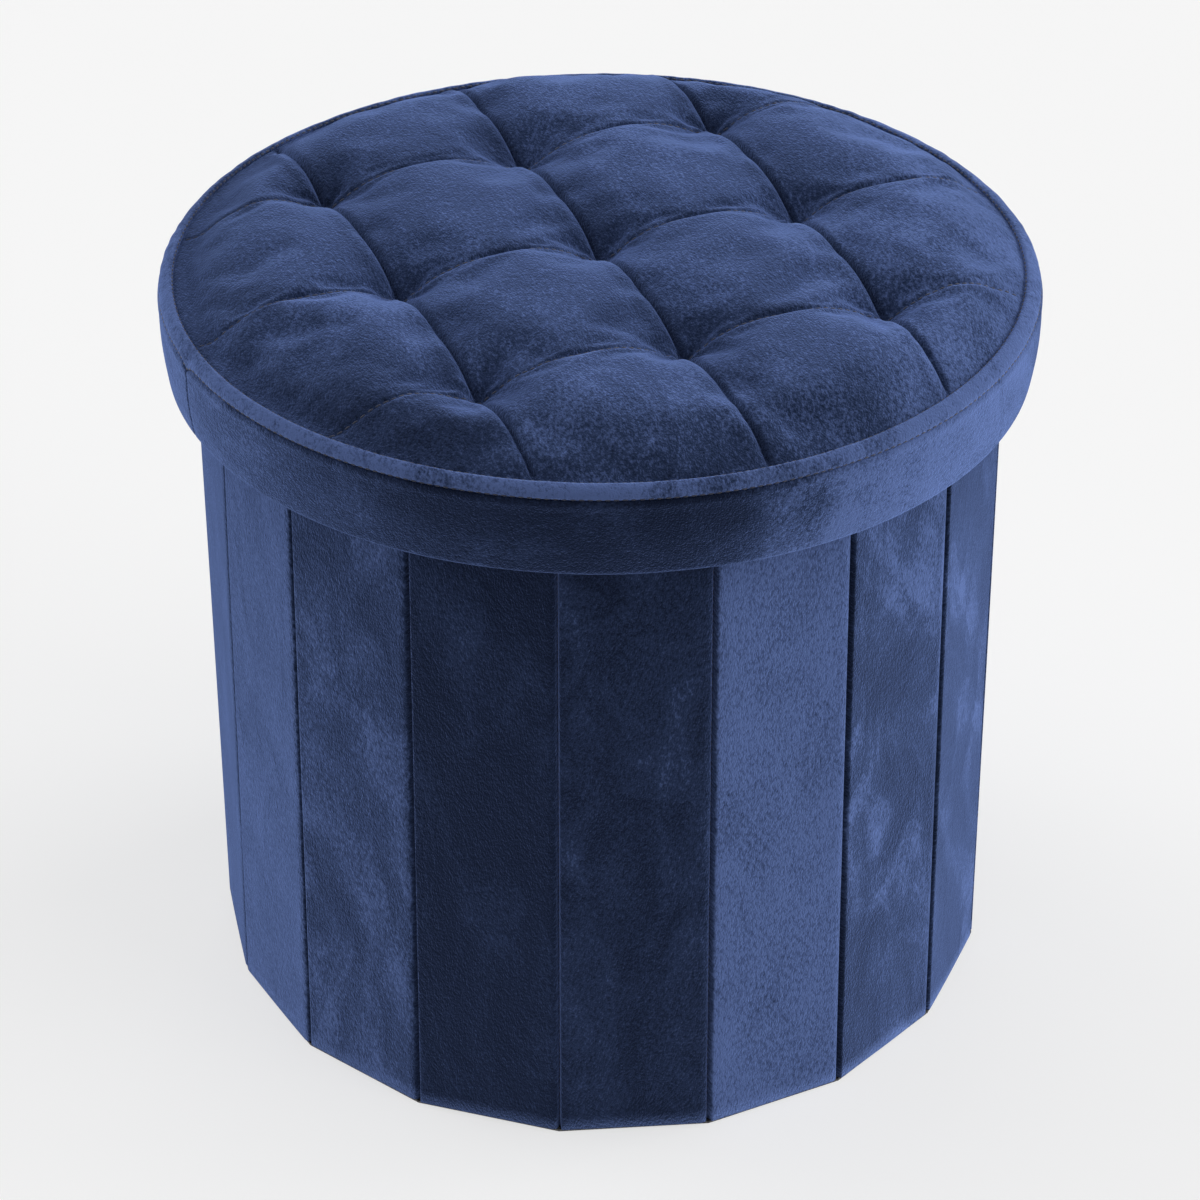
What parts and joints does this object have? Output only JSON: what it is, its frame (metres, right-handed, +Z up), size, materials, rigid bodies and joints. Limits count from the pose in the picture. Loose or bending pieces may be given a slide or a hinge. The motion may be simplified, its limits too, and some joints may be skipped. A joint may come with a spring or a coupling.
{
  "type": "ottoman with storage",
  "caption": "Round velvet ottoman: a ring of flat sewn panels round a storage space, closed by a loose padded, tufted lid whose skirt hangs over the rim.",
  "frame": {"origin": "on the floor, under the middle of the wall", "axes": "+Z up; a flat side of the wall faces -Y, which is the side seen first"},
  "size_m": [0.4043, 0.4042, 0.3798],
  "materials": {
    "wall_velvet": "short-pile velvet, blue, with the pile brushed in streaks",
    "lid_velvet": "short-pile velvet, blue, with a cloudy nap",
    "seam_velvet": "sewn seam allowance of the wall's velvet and lining",
    "lining": "embossed non-woven cloth, near black",
    "leaf_board": "raw fibreboard",
    "board": "raw fibreboard",
    "hoop_board": "bent hardboard",
    "foam": "open-cell upholstery foam",
    "twine": "waxed upholstery twine",
    "ribbon": "woven ribbon",
    "button_plastic": "moulded, matt black",
    "staple_steel": "galvanised wire"
  },
  "bodies": {
    "wall": {"wall_board_01": "leaf_board", "wall_board_02": "leaf_board", "wall_board_03": "leaf_board", "wall_board_04": "leaf_board", "wall_board_05": "leaf_board", "wall_board_06": "leaf_board", "wall_board_07": "leaf_board", "wall_board_08": "leaf_board", "wall_board_09": "leaf_board", "wall_board_10": "leaf_board", "wall_board_11": "leaf_board", "wall_board_12": "leaf_board", "wall_board_13": "leaf_board", "wall_board_14": "leaf_board", "wall_board_15": "leaf_board", "wall_board_16": "leaf_board", "velvet_strip_01": "wall_velvet", "velvet_strip_02": "wall_velvet", "velvet_strip_03": "wall_velvet", "velvet_strip_04": "wall_velvet", "velvet_strip_05": "wall_velvet", "velvet_strip_06": "wall_velvet", "velvet_strip_07": "wall_velvet", "velvet_strip_08": "wall_velvet", "velvet_strip_09": "wall_velvet", "velvet_strip_10": "wall_velvet", "velvet_strip_11": "wall_velvet", "velvet_strip_12": "wall_velvet", "velvet_strip_13": "wall_velvet", "velvet_strip_14": "wall_velvet", "velvet_strip_15": "wall_velvet", "velvet_strip_16": "wall_velvet", "inner_lining": "lining", "corner_seams": "seam_velvet", "floor_cloth": "lining"},
    "base_board": {"base_board": "board", "base_board_cover": "lining", "pull_tab": "ribbon"},
    "lid": {"lid_board": "board", "skirt_hoop": "hoop_board", "skirt_padding": "foam", "seat_foam": "foam", "top_cover": "lid_velvet", "border_band": "lid_velvet", "skirt_cover": "lid_velvet", "skirt_lining": "lining", "lid_liner": "lining", "tuft_twines": "twine", "back_buttons": "button_plastic", "liner_staples": "staple_steel"}
  },
  "joints": [
    {"name": "lid_lift", "type": "slide", "parent": "wall", "child": "lid", "axis": [0, 0, 1], "range_m": [0, 0.45]},
    {"name": "base_board_lift", "type": "slide", "parent": "wall", "child": "base_board", "axis": [0, 0, 1], "range_m": [0, 0.27]}
  ]
}
